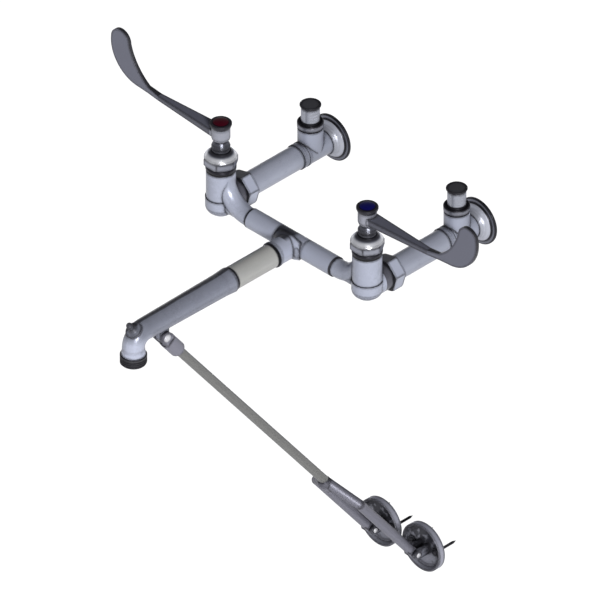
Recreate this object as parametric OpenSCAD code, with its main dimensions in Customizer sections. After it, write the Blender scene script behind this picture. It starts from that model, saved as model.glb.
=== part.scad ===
// Wall-mounted service faucet with wrist-blade handles, screwdriver stops in
// both supply arms, a rigid hose-end spout and a lower wall brace.
// Millimetres, +Z up. The wall face is the plane Y = 0 and the room lies at -Y.
// The origin is midway between the two supply inlets, on the wall face.

/* [Layout] */
// Distance between the two supply inlets, centre to centre
inlet_spacing = 203.2; // [180:0.1:250]
// Distance from the wall to the line of the valves and the crossbar
body_reach = 155.6; // [140:0.1:190]
// Distance from the wall to the centre of the outlet
spout_reach = 377.5; // [350:0.5:460]
// Height of the inlets above the centres of the brace flanges
brace_drop = 430; // [340:1:520]
// Distance between the two brace flanges, centre to centre
flange_spacing = 60.4; // [58:0.1:72]

/* [Valves] */
// Diameter of the cast valve body
valve_body_d = 29.8; // [29:0.1:34]
// Height of the top of the valve body above the crossbar
valve_body_top = 37.8; // [36.6:0.1:47]
// Width across the flats of the bonnet's hexagon
bonnet_af = 30.6; // [30:0.1:37]
// Height of the bonnet's hexagon
bonnet_hex_h = 8.5; // [7:0.1:12]
// Diameter of the valve spindle
spindle_d = 9; // [8:0.1:9.6]
// Diameter of the packing nut
packing_nut_d = 19; // [18.4:0.1:22]

/* [Handles] */
// Length of a handle from the spindle to the tip of the blade
handle_reach = 151.4; // [130:0.1:185]
// Thickness of the blade
blade_t = 3.8; // [3:0.1:5]
// Width of the arm beside the hub
arm_root_w = 15.6; // [13:0.1:17]
// Width of the arm where it meets the blade
arm_neck_w = 6; // [5:0.1:8]
// Diameter of the colour index button
index_d = 17.4; // [16:0.1:20]

/* [Crossbar and tee] */
// Outer diameter of the crossbar
bar_d = 21.3; // [20:0.1:24]
// Wall of the crossbar
bar_wall = 2.6; // [2:0.1:3.2]
// Diameter of the tee's outlet boss
tee_boss_d = 25.6; // [25.2:0.1:28]

/* [Spout] */
// Diameter of the sleeve between the tee and the spout
sleeve_d = 24.6; // [23:0.1:25]
// Diameter of the spout where it screws on to the sleeve
spout_root_d = 25.4; // [25:0.1:28]
// Diameter of the spout at its bend
spout_tip_d = 22.6; // [21.4:0.1:24]
// Outer diameter of the hose thread at the outlet
hose_thread_d = 27; // [26.8:0.1:27.4]
// Height of the outlet's end face below the spout's axis
outlet_drop = 32.8; // [29:0.1:38]

/* [Supplies and stops] */
// Outer diameter of the supply arms
supply_d = 25; // [24:0.1:25.4]
// Width across the flats of the union nut
union_nut_af = 32; // [30:0.1:36]
// Outer diameter of the stop body
stop_d = 26; // [25.4:0.1:28]
// Distance from the wall to the stop's stem
stop_setback = 31; // [29:0.1:36]
// Radius of the threaded inlet at the wall
inlet_r = 9.3; // [9:0.1:9.6]
// Outer diameter of the wall escutcheons
escutcheon_d = 50.8; // [44:0.1:60]

/* [Brace] */
// Diameter of the brace rod
rod_d = 9.6; // [8.5:0.1:10.6]
// Diameter of the yoke's arms
yoke_bar_d = 10.2; // [9.6:0.1:12.6]
// Outer diameter of the coupling under the spout
coupling_d = 16.2; // [15.6:0.1:19]
// Outer diameter of the two brace flanges
flange_d = 52.8; // [46:0.1:54]
// Distance between the two screws of a brace flange
screw_spacing = 31.75; // [30:0.05:34]
// Length of a wall screw behind the wall face
screw_depth = 26.5; // [20:0.5:36]

/* [Hidden] */

// Finishes
body_grey = [0.63, 0.63, 0.71];
handle_grey = [0.45, 0.45, 0.49];
sleeve_grey = [0.67, 0.67, 0.64];
rod_grey = [0.57, 0.57, 0.55];
brace_grey = [0.49, 0.47, 0.53];
cap_grey = [0.28, 0.28, 0.30];
brass = [0.72, 0.58, 0.32];
ceramic = [0.92, 0.90, 0.86];
seal_black = [0.10, 0.10, 0.11];
hot_red = [0.24, 0.0, 0.08];
cold_blue = [0.04, 0.04, 0.31];
zinc = [0.70, 0.70, 0.72];

// Gaps that hold everywhere: a running fit, a seated joint and a cut's overshoot
run = 0.05;
seat = 0.1;
eps = 1;

// Valve column, measured up from the crossbar's axis at each valve
body_r = valve_body_d / 2;
bowl_r = body_r + 0.9;
bowl_top_z = 6.6;
bowl_side_z = -4.4;
bowl_base_z = -13.2;
bowl_base_r = 8.6;
chamber_r = 8.6;
chamber_base_z = -10;
seat_z = 10;
seat_t = 3;
seat_bore_r = 5.5;
cartridge_bore_r = 11.6;
cartridge_r = 11.3;
seal_t = 1.6;
disc_t = 3.2;
disc_r = 9.6;
port_r = 2.9;
port_offset = 5;
cartridge_z = seat_z + seat_t;
cartridge_top = 30;
cartridge_lip_t = 2;
spindle_foot_h = 4;
bonnet_spigot_r = 11.4;
bonnet_collar_h = 5;
bonnet_dome_h = 7.8;
bonnet_washer_t = 2.2;
bonnet_z = valve_body_top + bonnet_washer_t;
bonnet_hex_z = bonnet_z + bonnet_collar_h;
bonnet_hex_top = bonnet_hex_z + bonnet_hex_h;
bonnet_dome_top = bonnet_hex_top + bonnet_dome_h;
packing_r = 6.6;
packing_h = 4.5;
packing_nut_z = bonnet_dome_top + seat;
packing_nut_r = packing_nut_d / 2;
packing_nut_h = 11.8;
neck_thread_r = 7.8;
neck_thread_h = 7;
spindle_r = spindle_d / 2;

// Handle, measured from the spindle outwards and up from the hub's underside
hub_z = packing_nut_z + packing_nut_h + 0.8;
hub_r = 9.5;
hub_h = 15.6;
cap_r = 11.1;
cap_h = 4.7;
broach_w = 6.4;
broach_z = hub_z;
broach_h = 7.4;
arm_z = hub_z + 3.5;
neck_reach = handle_reach * 0.56;
arm_root_t = 7.2;
arm_neck_t = 5.2;
arm_rise = 2.2;
neck_l = 15;
blade_tip_r = 12.4;
blade_tip_z = 47.4;
belly_r = 39;
belly_z = 43.2;
face_r = 62.8;
face_z = 62.9;
face_x = handle_reach - 2 * blade_tip_r - sqrt(pow(face_r, 2) - pow(face_z - blade_tip_z, 2));
neck_x = neck_reach + neck_l;
neck_top = face_z - sqrt(pow(face_r, 2) - pow(neck_x - face_x, 2));
handle_screw_head_r = 4;
handle_screw_r = 2;
index_h = 1.2;

// Crossbar and tee
bar_r = bar_d / 2;
bar_bore_r = bar_r - bar_wall;
elbow_r = 9.6;
elbow_bend = 33.5;
elbow_x = 5.6;
bend_x = elbow_x + elbow_bend;
stub_x = bend_x + 3.5;
web_r = 8;
way_r = 5.2;
spigot_l = 6;
tee_half = 19;
tee_flare = 5.5;
tee_boss_r = tee_boss_d / 2;
tee_boss_l = 30.4;
tee_collar_r = tee_boss_r + 0.7;
tee_collar_l = 2.6;
sleeve_r = sleeve_d / 2;
sleeve_socket_l = 11;
sleeve_thread_r = 10.4;
sleeve_groove = 1.8;
sleeve_groove_d = 1.6;
sleeve_bore_r = 7.5;

// Spout, measured away from the wall
spout_z = -0.2;
spout_root_y = -body_reach - 89.8;
spout_bead_r = spout_root_d / 2 + 0.7;
spout_bead_l = 12;
spout_root_r = spout_root_d / 2;
spout_tip_r = spout_tip_d / 2;
bend_r = 14;
bend_y = -spout_reach + bend_r;
bend_z = spout_z - bend_r;
spout_bore_r = 7.4;
nozzle_r = hose_thread_d / 2;
nozzle_h = 10.4;
nozzle_z = -outlet_drop;
nozzle_bore_r = 8.6;
nozzle_spigot_r = 10.2;
nozzle_spigot_l = 7;
outlet_flare_r = 12.2;
hook_tilt = 55;
hook_l = 11;
hook_ball_r = 3.3;
hook_neck_r = 2.4;
hook_root_r = 8.6;

// Supplies and stops
supply_r = supply_d / 2;
supply_bore_r = 8;
tail_l = 29;
tail_thread_r = supply_r + 0.1;
tail_boss_r = supply_r + 2.1;
tail_boss_y = 14.6;
tail_boss_l = 8;
union_washer_t = 1.6;
arm_flange_r = supply_r + 0.4;
arm_flange_t = 2.6;
union_nut_y = tail_boss_y + tail_boss_l + seat;
union_nut_l = 14;
union_nut_turn = 14;
union_lip_t = union_nut_y + union_nut_l - tail_l - union_washer_t - arm_flange_t;
supply_y = body_reach - tail_l - union_washer_t;
stop_socket_y = 51;
stop_spigot_r = 10.2;
stop_spigot_l = 11;
stop_r = stop_d / 2;
plug_r = 8.6;
plug_base_z = -8.4;
plug_top_z = 16;
plug_bore_r = 5.4;
stop_boss_top = 27.5;
stop_nut_h = 7.5;
stop_stem_r = 9.5;
stop_stem_top = 52;
stop_cap_h = 2.8;
stop_cap_r = 10.8;
plug_stem_r = 4;
escutcheon_h = 12;
escutcheon_rim_t = 2.6;
inlet_depth = 14;
stop_way_r = 6.4;

// Brace: the pivot under the spout, the wall pivots and the line between them
pivot_y = -spout_reach + 39.8;
pivot_z = -20.7;
wall_pivot_y = -18.2;
brace_angle = atan2(brace_drop + pivot_z, wall_pivot_y - pivot_y);
brace_l = norm([wall_pivot_y - pivot_y, brace_drop + pivot_z]);
coupling_r = coupling_d / 2;
cheek_r = 6.6;
cheek_x = 6.8;
shoulder_z = 8.6;
coupling_l = 36;
fork_gap = 7.4;
fork_depth = 10.5;
lug_t = 7;
lug_r = 6;
brace_pin_r = 3;
brace_head_r = 4.4;
rod_r = rod_d / 2;
rod_start = 23;
yoke_r = yoke_bar_d / 2;
yoke_apex = brace_l - 151.5;
yoke_spread = 29.5;
yoke_boss_r = 7;
yoke_boss_drop = 1.7;
yoke_boss_l = 11;
yoke_socket_l = 9;
flange_x = flange_spacing / 2;
flange_r = flange_d / 2;
flange_t = 7.6;
eye_t = 7;
ear_gap = 7.5;
ear_t = 3.6;
ear_r = 5.4;
flange_pin_r = 2.5;
screw_r = 1.5;
slot_w = 0.8;
screw_head_r = 3;
screw_head_h = 2;
screw_seat_t = 3.8;
screw_neck_r = 1.3;
screw_seat_r = 4.2;

// A valve's own frame: X points away from the middle of the faucet
module at_valve(side) {
    translate([side * inlet_spacing / 2, -body_reach, 0]) mirror([side < 0 ? 1 : 0, 0, 0]) children();
}

// An inlet's own frame, on the wall face
module at_inlet(side) {
    translate([side * inlet_spacing / 2, 0, 0]) mirror([side < 0 ? 1 : 0, 0, 0]) children();
}

// The brace's own frame: Z runs down the rod from the pivot under the spout
module along_brace() {
    translate([0, pivot_y, pivot_z]) rotate([-90 - brace_angle, 0, 0]) children();
}

module rod_x(r, from, to) {
    translate([from, 0, 0]) rotate([0, 90, 0]) cylinder(r = r, h = to - from, $fn = 72);
}

module rod_y(r, from, to) {
    translate([0, from, 0]) rotate([-90, 0, 0]) cylinder(r = r, h = to - from, $fn = 72);
}

module rod_z(r, from, to) {
    translate([0, 0, from]) cylinder(r = r, h = to - from, $fn = 72);
}

module ring_z(outer, inner, from, to) {
    difference() {
        rod_z(outer, from, to);
        rod_z(inner, from - eps, to + eps);
    }
}

module hexagon_z(af, from, to) {
    translate([0, 0, from]) cylinder(d = af / cos(30), h = to - from, $fn = 6);
}

// A quarter or less of a torus in the X-Z plane, round the point [x, z]
module bend_xz(x, z, bend, r, from_angle, turn) {
    translate([x, 0, z])
        rotate([90, 0, 0])
            rotate([0, 0, from_angle])
                rotate_extrude(angle = turn, $fn = 96) translate([bend, 0]) circle(r = r, $fn = 72);
}

// ---------------------------------------------------------------- valves

// The flow path out of a valve leaves under the bonnet and bends into the crossbar
module cast_elbow() {
    bend_xz(-bend_x, elbow_bend, elbow_bend, elbow_r, 270, 90);
    rod_x(elbow_r, -stub_x, -bend_x);
    translate([-elbow_x, 0, 0]) rod_z(elbow_r, elbow_bend, valve_body_top);
}

module valve_casting() {
    rotate_extrude($fn = 96) {
        square([body_r, valve_body_top]);
        polygon([[0, bowl_top_z], [bowl_r, bowl_top_z], [bowl_r, bowl_side_z],
                 [bowl_r - 0.6, bowl_side_z - 2.4], [bowl_r - 2.2, bowl_side_z - 4.9],
                 [bowl_base_r + 1.4, bowl_base_z + 0.8], [bowl_base_r, bowl_base_z], [0, bowl_base_z]]);
    }
    cast_elbow();
    rod_x(web_r, -stub_x, 0);
    rod_x(bar_bore_r - run, -stub_x - spigot_l, -stub_x);
    rod_y(tail_boss_r, 0, tail_boss_y + tail_boss_l);
    rod_y(tail_thread_r, 0, tail_l);
}

// Brass casting: inlet chamber below the seat, cartridge chamber above it
module valve_body(side) {
    color(body_grey) at_valve(side) difference() {
        valve_casting();
        rod_z(chamber_r, chamber_base_z, seat_z);
        rod_z(seat_bore_r, seat_z - eps, seat_z + seat_t + eps);
        rod_z(cartridge_bore_r, seat_z + seat_t, valve_body_top + eps);
        rod_y(supply_bore_r, 0, tail_l + eps);
        bend_xz(-bend_x, elbow_bend, elbow_bend, way_r, 270, 75);
        rod_x(bar_bore_r - 2, -stub_x - spigot_l - eps, -bend_x);
    }
}

module crossbar(side) {
    color(body_grey) at_valve(side) difference() {
        rod_x(bar_r, -inlet_spacing / 2 + tee_half, -stub_x);
        rod_x(bar_bore_r, -inlet_spacing / 2, -stub_x + eps);
    }
}

// Collar, hexagon and dome in one, with a threaded neck for the packing nut
module bonnet(side) {
    corner_r = bonnet_af / 2 / cos(30);
    collar_r = body_r + 0.6;
    relief = 1.4;
    neck_r = packing_nut_r + 0.5;
    color(body_grey) at_valve(side) difference() {
        union() {
            rotate_extrude($fn = 96) polygon([[0, bonnet_z], [collar_r - 0.6, bonnet_z],
                [collar_r, bonnet_z + 0.6], [collar_r, bonnet_hex_z - relief - 0.5],
                [collar_r - 0.5, bonnet_hex_z - relief], [collar_r - relief, bonnet_hex_z - relief],
                [collar_r - relief, bonnet_hex_z + 0.4], [0, bonnet_hex_z + 0.4]]);
            intersection() {
                hexagon_z(bonnet_af, bonnet_hex_z, bonnet_hex_top);
                rotate_extrude($fn = 96) polygon([[0, bonnet_hex_z], [corner_r - 1.6, bonnet_hex_z],
                    [corner_r, bonnet_hex_z + 1.4], [corner_r, bonnet_hex_top - 1.2],
                    [corner_r - 1.4, bonnet_hex_top], [0, bonnet_hex_top]]);
            }
            rotate_extrude($fn = 96) polygon([[0, bonnet_hex_top - 1], [corner_r - 1.2, bonnet_hex_top - 1],
                [corner_r - 0.8, bonnet_hex_top - 0.4], [corner_r - 0.9, bonnet_hex_top + 0.6],
                [corner_r - 1.8, bonnet_hex_top + 2], [corner_r - 3.3, bonnet_hex_top + 3.7],
                [corner_r - 5, bonnet_hex_top + 5.3], [neck_r + 0.5, bonnet_dome_top - 0.7],
                [neck_r, bonnet_dome_top], [0, bonnet_dome_top]]);
            rod_z(neck_thread_r, bonnet_dome_top, packing_nut_z + neck_thread_h);
            rod_z(bonnet_spigot_r, cartridge_top + seat, bonnet_z);
        }
        rod_z(spindle_r + run, 0, packing_nut_z + packing_nut_h);
        rod_z(packing_r, packing_nut_z + neck_thread_h - packing_h, packing_nut_z + packing_nut_h);
        rod_z(cartridge_r - 3, cartridge_top, cartridge_top + spindle_foot_h);
    }
}

module bonnet_washer(side) {
    color(seal_black) at_valve(side)
        ring_z(body_r - seat, bonnet_spigot_r + seat, valve_body_top, valve_body_top + bonnet_washer_t);
}

// Sleeve with four outlet windows; the two ceramic discs lie inside it
module cartridge(side) {
    window_w = 9;
    window_z = cartridge_z + seal_t + 2 * disc_t + 0.6;
    color(brass) at_valve(side) difference() {
        rod_z(cartridge_r, cartridge_z + seal_t, cartridge_top);
        rod_z(disc_r + run, cartridge_z, cartridge_top - cartridge_lip_t);
        rod_z(spindle_r + run, cartridge_z, cartridge_top + eps);
        for (turn = [0, 90])
            rotate([0, 0, turn])
                translate([-2 * cartridge_r, -window_w / 2, window_z])
                    cube([4 * cartridge_r, window_w, cartridge_top - cartridge_lip_t - window_z - 1.4]);
    }
}

// Both discs have a pair of ports; turning one by a quarter closes them
module disc_blank(outer, from, to) {
    difference() {
        rod_z(outer, from, to);
        for (turn = [0, 180])
            rotate([0, 0, turn]) translate([port_offset, 0, 0]) rod_z(port_r, from - eps, to + eps);
    }
}

module fixed_disc(side) {
    color(ceramic) at_valve(side)
        disc_blank(disc_r, cartridge_z + seal_t, cartridge_z + seal_t + disc_t);
}

module turning_disc(side) {
    from = cartridge_z + seal_t + disc_t;
    color(ceramic) at_valve(side) rotate([0, 0, 90]) difference() {
        disc_blank(disc_r, from, from + disc_t);
        translate([-spindle_r, -1.5, from + disc_t - 1.6]) cube([2 * spindle_r, 3, 2]);
    }
}

module seat_seal(side) {
    color(seal_black) at_valve(side)
        ring_z(disc_r + 1, disc_r - 1.4, cartridge_z, cartridge_z + seal_t);
}

module stem_packing(side) {
    from = packing_nut_z + neck_thread_h - packing_h;
    color(seal_black) at_valve(side) ring_z(packing_r, spindle_r + run, from, from + packing_h);
}

// Round nut with a coned top and two spanner holes, set where they face across the valve
module packing_nut(side) {
    top = packing_nut_z + packing_nut_h;
    inside_top = packing_nut_z + neck_thread_h + run;
    r = packing_nut_r;
    color(body_grey) at_valve(side) difference() {
        rotate_extrude($fn = 96) polygon([[0, packing_nut_z], [r - 0.8, packing_nut_z],
            [r - 0.5, packing_nut_z + 0.6], [r - 0.5, packing_nut_z + 2.4], [r - 1, packing_nut_z + 3],
            [r - 1, packing_nut_z + 3.8], [r, packing_nut_z + 4.8], [r, top - 6.4],
            [r - 0.4, top - 5.2], [r - 1.2, top - 3.8], [r - 2.4, top - 1.6], [r - 3.2, top], [0, top]]);
        rod_z(neck_thread_r, packing_nut_z - eps, inside_top);
        rod_z(spindle_r + run, packing_nut_z, top + eps);
        for (end = [0, 180])
            rotate([0, 0, side * 45 + end])
                translate([0, 0, top - 6.2]) rod_x(1, r - 1.2, r + eps);
    }
}

// ---------------------------------------------------------------- handles

module spindle(side) {
    foot_z = cartridge_top + seat;
    key_z = cartridge_z + seal_t + 2 * disc_t - 1.6;
    color(brass) at_valve(side) difference() {
        union() {
            rod_z(spindle_r, key_z + 1.6, hub_z);
            translate([-1.5, -spindle_r, key_z]) cube([3, 2 * spindle_r, 4]);
            rod_z(cartridge_r - 3 - seat, foot_z, foot_z + spindle_foot_h - 2 * seat);
            translate([-broach_w / 2, -broach_w / 2, broach_z])
                cube([broach_w, broach_w, broach_h]);
        }
        rod_z(handle_screw_r, hub_z - 10, broach_z + broach_h + eps);
    }
}

// Round hub, narrowed at the foot, with a wide cap for the index
module handle_hub() {
    cap_z = hub_z + hub_h;
    top = cap_z + cap_h;
    rotate_extrude($fn = 96) polygon([[0, hub_z], [hub_r - 1.6, hub_z], [hub_r - 0.6, hub_z + 1],
        [hub_r, hub_z + 3], [hub_r, cap_z - 2.4], [hub_r + 0.3, cap_z - 0.6], [cap_r - 0.6, cap_z + 0.8],
        [cap_r, cap_z + 2.4], [cap_r, top - 0.6], [cap_r - 0.5, top], [0, top]]);
}

// The arm narrows to the neck, then thins down to the blade
module handle_arm() {
    intersection() {
        translate([0, 0, arm_z - eps]) linear_extrude(height = 4 * eps + arm_root_t)
            polygon([[0, -arm_root_w / 2], [neck_reach, -arm_neck_w / 2], [neck_x, -blade_t / 2],
                     [neck_x, blade_t / 2], [neck_reach, arm_neck_w / 2], [0, arm_root_w / 2]]);
        translate([0, arm_root_w, arm_z]) rotate([90, 0, 0]) linear_extrude(height = 2 * arm_root_w)
            polygon([[0, 0], [neck_reach, arm_rise], [neck_x, arm_rise + 0.9],
                     [neck_x, neck_top], [neck_reach, arm_rise + arm_neck_t], [0, arm_root_t]]);
    }
}

// Outline of the blade: a crescent that sweeps up from the neck to a rounded tip
module blade_outline() {
    tip_x = handle_reach - blade_tip_r;
    belly_x = handle_reach - sqrt(pow(belly_r, 2) - pow(blade_tip_z - belly_z, 2));
    translate([0, arm_z]) {
        translate([tip_x, blade_tip_z]) circle(r = blade_tip_r, $fn = 144);
        difference() {
            union() {
                intersection() {
                    translate([belly_x, belly_z]) circle(r = belly_r, $fn = 144);
                    translate([belly_x, 0]) square([2 * belly_r, blade_tip_z]);
                }
                polygon([[neck_x, arm_rise + 0.9], [belly_x, belly_z - belly_r],
                         [belly_x, blade_tip_z / 2], [neck_x, blade_tip_z / 2]]);
            }
            translate([face_x, face_z]) circle(r = face_r, $fn = 144);
        }
        polygon([[neck_reach, arm_rise], [neck_x, arm_rise + 0.9],
                 [neck_x, neck_top], [neck_reach, arm_rise + arm_neck_t]]);
    }
}

module handle(side) {
    top = hub_z + hub_h;
    color(handle_grey) at_valve(side) difference() {
        union() {
            handle_hub();
            handle_arm();
            translate([0, blade_t / 2, 0]) rotate([90, 0, 0])
                linear_extrude(height = blade_t) blade_outline();
        }
        translate([-broach_w / 2 - run, -broach_w / 2 - run, hub_z - eps])
            cube([broach_w + 2 * run, broach_w + 2 * run, broach_h + eps + seat]);
        rod_z(handle_screw_r + 0.3, hub_z, top);
        rod_z(handle_screw_head_r + 0.4, hub_z + hub_h - 2.6, top + cap_h + eps);
        rod_z(index_d / 2, top + cap_h - 1.6, top + cap_h + eps);
    }
}

module handle_screw(side) {
    head_z = hub_z + hub_h - 2.6;
    color(zinc) at_valve(side) difference() {
        union() {
            rod_z(handle_screw_r, hub_z - 9, head_z);
            rod_z(handle_screw_head_r, head_z, head_z + 2.4);
        }
        translate([-handle_screw_head_r - eps, -0.5, head_z + 1.3])
            cube([2 * handle_screw_head_r + 2 * eps, 1, 2]);
    }
}

// Domed button, pressed into the cap, that shows which supply the handle turns on
module index_button(side) {
    rim_z = hub_z + hub_h + cap_h;
    dome_r = (pow(index_d / 2, 2) + pow(index_h, 2)) / (2 * index_h);
    color(side < 0 ? hot_red : cold_blue) at_valve(side) {
        intersection() {
            translate([0, 0, rim_z + index_h - dome_r]) sphere(r = dome_r, $fn = 96);
            rod_z(index_d / 2, rim_z - 1.6, rim_z + 2 * index_h);
        }
        rod_z(handle_screw_head_r + 0.3, rim_z - 3, rim_z - 1.6);
    }
}

// ---------------------------------------------------------------- tee and spout

// Boss with a flared root that blends into the front of the crossbar, and a collar at its mouth
module tee_boss() {
    flare_r = tee_boss_r + tee_flare;
    back = 6;
    bulge = flare_r - 2.5 - bar_r;
    barrel_r = (pow(tee_half, 2) + pow(bulge, 2)) / (2 * bulge);
    rod_y(tee_boss_r, -tee_boss_l, -back);
    rod_y(tee_collar_r, -tee_boss_l, -tee_boss_l + tee_collar_l);
    intersection() {
        rotate([90, 0, 0]) rotate_extrude($fn = 96) difference() {
            translate([0, back]) square([flare_r, bar_r + tee_flare - back]);
            translate([flare_r, bar_r + tee_flare]) circle(r = tee_flare, $fn = 72);
        }
        rotate([0, 90, 0]) rotate_extrude($fn = 96) intersection() {
            translate([bar_r + bulge - barrel_r, 0]) circle(r = barrel_r, $fn = 144);
            translate([0, -tee_half]) square([bar_r + bulge, 2 * tee_half]);
        }
    }
}

module outlet_tee() {
    color(body_grey) translate([0, -body_reach, 0]) difference() {
        union() {
            rod_x(bar_r, -tee_half, tee_half);
            tee_boss();
            rod_x(bar_bore_r - run, -tee_half - spigot_l, tee_half + spigot_l);
        }
        rod_x(bar_bore_r - 2, -tee_half - spigot_l - eps, tee_half + spigot_l + eps);
        rod_y(sleeve_bore_r, -tee_boss_l, 0);
        rod_y(sleeve_thread_r, -tee_boss_l - eps, -tee_boss_l + sleeve_socket_l);
    }
}

// Straight sleeve with a turned-down thread at each end
module spout_sleeve() {
    from = spout_root_y - sleeve_socket_l;
    to = -body_reach - tee_boss_l + sleeve_socket_l;
    color(sleeve_grey) difference() {
        union() {
            rod_y(sleeve_r - sleeve_groove_d, spout_root_y, -body_reach - tee_boss_l);
            rod_y(sleeve_r, spout_root_y + sleeve_groove, -body_reach - tee_boss_l - sleeve_groove);
            rod_y(sleeve_thread_r, from, to);
        }
        rod_y(sleeve_bore_r, from - eps, to + eps);
    }
}

// Pail hook: a stud on the outside of the bend, flared at the root and ball-ended
module pail_hook() {
    fillet = hook_root_r - hook_neck_r;
    translate([0, bend_y, bend_z]) rotate([90 - hook_tilt, 0, 0])
        translate([0, 0, bend_r + spout_tip_r - 2.4]) {
            rotate_extrude($fn = 72) difference() {
                square([hook_root_r, fillet]);
                translate([hook_root_r, fillet + 1.4]) circle(r = fillet, $fn = 72);
            }
            rod_z(hook_neck_r, 0, hook_l);
            translate([0, 0, hook_l]) sphere(r = hook_ball_r, $fn = 72);
        }
}

// Plate under the spout that the brace's fork straddles
module spout_lug() {
    h = spout_z - pivot_z;
    translate([-lug_t / 2, pivot_y, pivot_z]) rotate([90, 0, 90]) linear_extrude(height = lug_t)
        polygon([[-lug_r, 0], [lug_r, 0], [lug_r, 8], [lug_r + 2, h], [-lug_r - 2, h], [-lug_r, 8]]);
    translate([0, pivot_y, pivot_z]) rod_x(lug_r, -lug_t / 2, lug_t / 2);
}

// A quarter bend from the horizontal barrel down to the outlet
module spout_bend(r) {
    translate([0, bend_y, bend_z]) rotate([0, -90, 0])
        rotate_extrude(angle = -90, $fn = 96) translate([bend_r, 0]) circle(r = r, $fn = 72);
}

// One casting: a beaded mouth, a tapered barrel, a tight bend and a flared end
module spout() {
    flare_z = nozzle_z + nozzle_h;
    color(body_grey) difference() {
        union() {
            translate([0, spout_root_y, spout_z]) rotate([90, 0, 0])
                cylinder(r1 = spout_root_r, r2 = spout_tip_r, h = spout_root_y - bend_y, $fn = 96);
            translate([0, spout_root_y, spout_z]) rotate([90, 0, 0])
                cylinder(r1 = spout_bead_r, r2 = spout_root_r - 0.1, h = spout_bead_l, $fn = 96);
            spout_bend(spout_tip_r);
            translate([0, -spout_reach, flare_z])
                cylinder(r1 = outlet_flare_r, r2 = spout_tip_r, h = bend_z - flare_z, $fn = 96);
            pail_hook();
            spout_lug();
        }
        rod_y(sleeve_thread_r, spout_root_y - sleeve_socket_l, spout_root_y + eps);
        translate([0, 0, spout_z]) rod_y(spout_bore_r, bend_y, spout_root_y);
        spout_bend(spout_bore_r);
        translate([0, -spout_reach, 0]) rod_z(spout_bore_r, flare_z - eps, bend_z);
        translate([0, -spout_reach, 0])
            rod_z(nozzle_spigot_r, flare_z - eps, flare_z + nozzle_spigot_l);
        translate([0, pivot_y, pivot_z]) rod_x(brace_pin_r + run, -lug_t, lug_t);
    }
}

// Hose-thread end that screws into the spout
module hose_nozzle() {
    collar_z = nozzle_z + nozzle_h;
    color(cap_grey) translate([0, -spout_reach, 0]) difference() {
        union() {
            rod_z(nozzle_r, nozzle_z, collar_z);
            rod_z(nozzle_spigot_r, collar_z, collar_z + nozzle_spigot_l);
        }
        rod_z(nozzle_bore_r, nozzle_z - eps, collar_z + nozzle_spigot_l + eps);
    }
}

// ---------------------------------------------------------------- supplies

// Hexagonal union nut that draws the supply arm's flange on to the valve
module union_nut(side) {
    corner_r = union_nut_af / 2 / cos(30);
    from = union_nut_y;
    to = union_nut_y + union_nut_l;
    color(body_grey) at_valve(side) difference() {
        intersection() {
            translate([0, from, 0]) rotate([-90, -side * union_nut_turn, 0])
                cylinder(r = corner_r, h = union_nut_l, $fn = 6);
            translate([0, from, 0]) rotate([-90, 0, 0]) rotate_extrude($fn = 96)
                polygon([[0, 0], [corner_r - 1, 0], [corner_r, 1.2], [corner_r, union_nut_l - 1.2],
                         [corner_r - 1, union_nut_l], [0, union_nut_l]]);
        }
        rod_y(arm_flange_r + run, from - eps, to - union_lip_t);
        rod_y(supply_r + seat, from, to + eps);
    }
}

module union_washer(side) {
    color(seal_black) at_valve(side) difference() {
        rod_y(tail_thread_r - 0.3, tail_l, tail_l + union_washer_t);
        rod_y(supply_bore_r, tail_l - eps, tail_l + union_washer_t + eps);
    }
}

module supply_arm(side) {
    color(body_grey) at_inlet(side) difference() {
        union() {
            rod_y(supply_r, -supply_y, -stop_socket_y);
            rod_y(arm_flange_r, -supply_y, -supply_y + arm_flange_t);
            rod_y(stop_spigot_r, -stop_socket_y, -stop_socket_y + stop_spigot_l);
        }
        rod_y(supply_bore_r, -supply_y - eps, -stop_socket_y + stop_spigot_l + eps);
    }
}

// Straight stop: the plug stands upright across the waterway
module stop_body(side) {
    color(body_grey) at_inlet(side) difference() {
        union() {
            rod_y(stop_r, -stop_socket_y, 0);
            rod_y(stop_r + 0.5, -stop_socket_y, -stop_socket_y + 3.4);
            rod_y(stop_r + 0.5, -stop_socket_y + 7.2, -stop_socket_y + 9.6);
            translate([0, -stop_setback, 0]) rod_z(stop_r, 0, stop_boss_top);
        }
        rod_y(stop_spigot_r, -stop_socket_y - eps, -stop_socket_y + stop_spigot_l);
        rod_y(stop_way_r, -stop_socket_y, 0);
        rod_y(inlet_r, -inlet_depth, eps);
        translate([0, -stop_setback, 0]) {
            rod_z(plug_r + run, plug_base_z - run, stop_boss_top + eps);
        }
    }
}

// Screws into the stop body and keeps the plug down
module stop_bonnet(side) {
    nut_top = stop_boss_top + stop_nut_h;
    trough_z = nut_top - 1.8;
    color(body_grey) at_inlet(side) translate([0, -stop_setback, 0]) difference() {
        union() {
            rotate_extrude($fn = 96) polygon([[0, stop_boss_top], [stop_r - 0.9, stop_boss_top],
                [stop_r - 0.9, stop_boss_top + 1.1], [stop_r + 0.4, stop_boss_top + 1.6],
                [stop_r + 0.4, nut_top - 1.2], [stop_r - 0.6, nut_top], [stop_stem_r + 2.4, nut_top],
                [stop_stem_r + 1.9, trough_z], [0, trough_z]]);
            rotate_extrude($fn = 96) polygon([[0, trough_z], [stop_stem_r + 0.8, trough_z],
                [stop_stem_r, nut_top], [stop_stem_r, stop_stem_top], [0, stop_stem_top]]);
            rod_z(plug_r - seat, plug_top_z + seat, stop_boss_top);
        }
        rod_z(plug_stem_r + run, plug_top_z, stop_stem_top + eps);
        rod_z(plug_stem_r + 2, stop_stem_top - 9, stop_stem_top + eps);
    }
}

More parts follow.
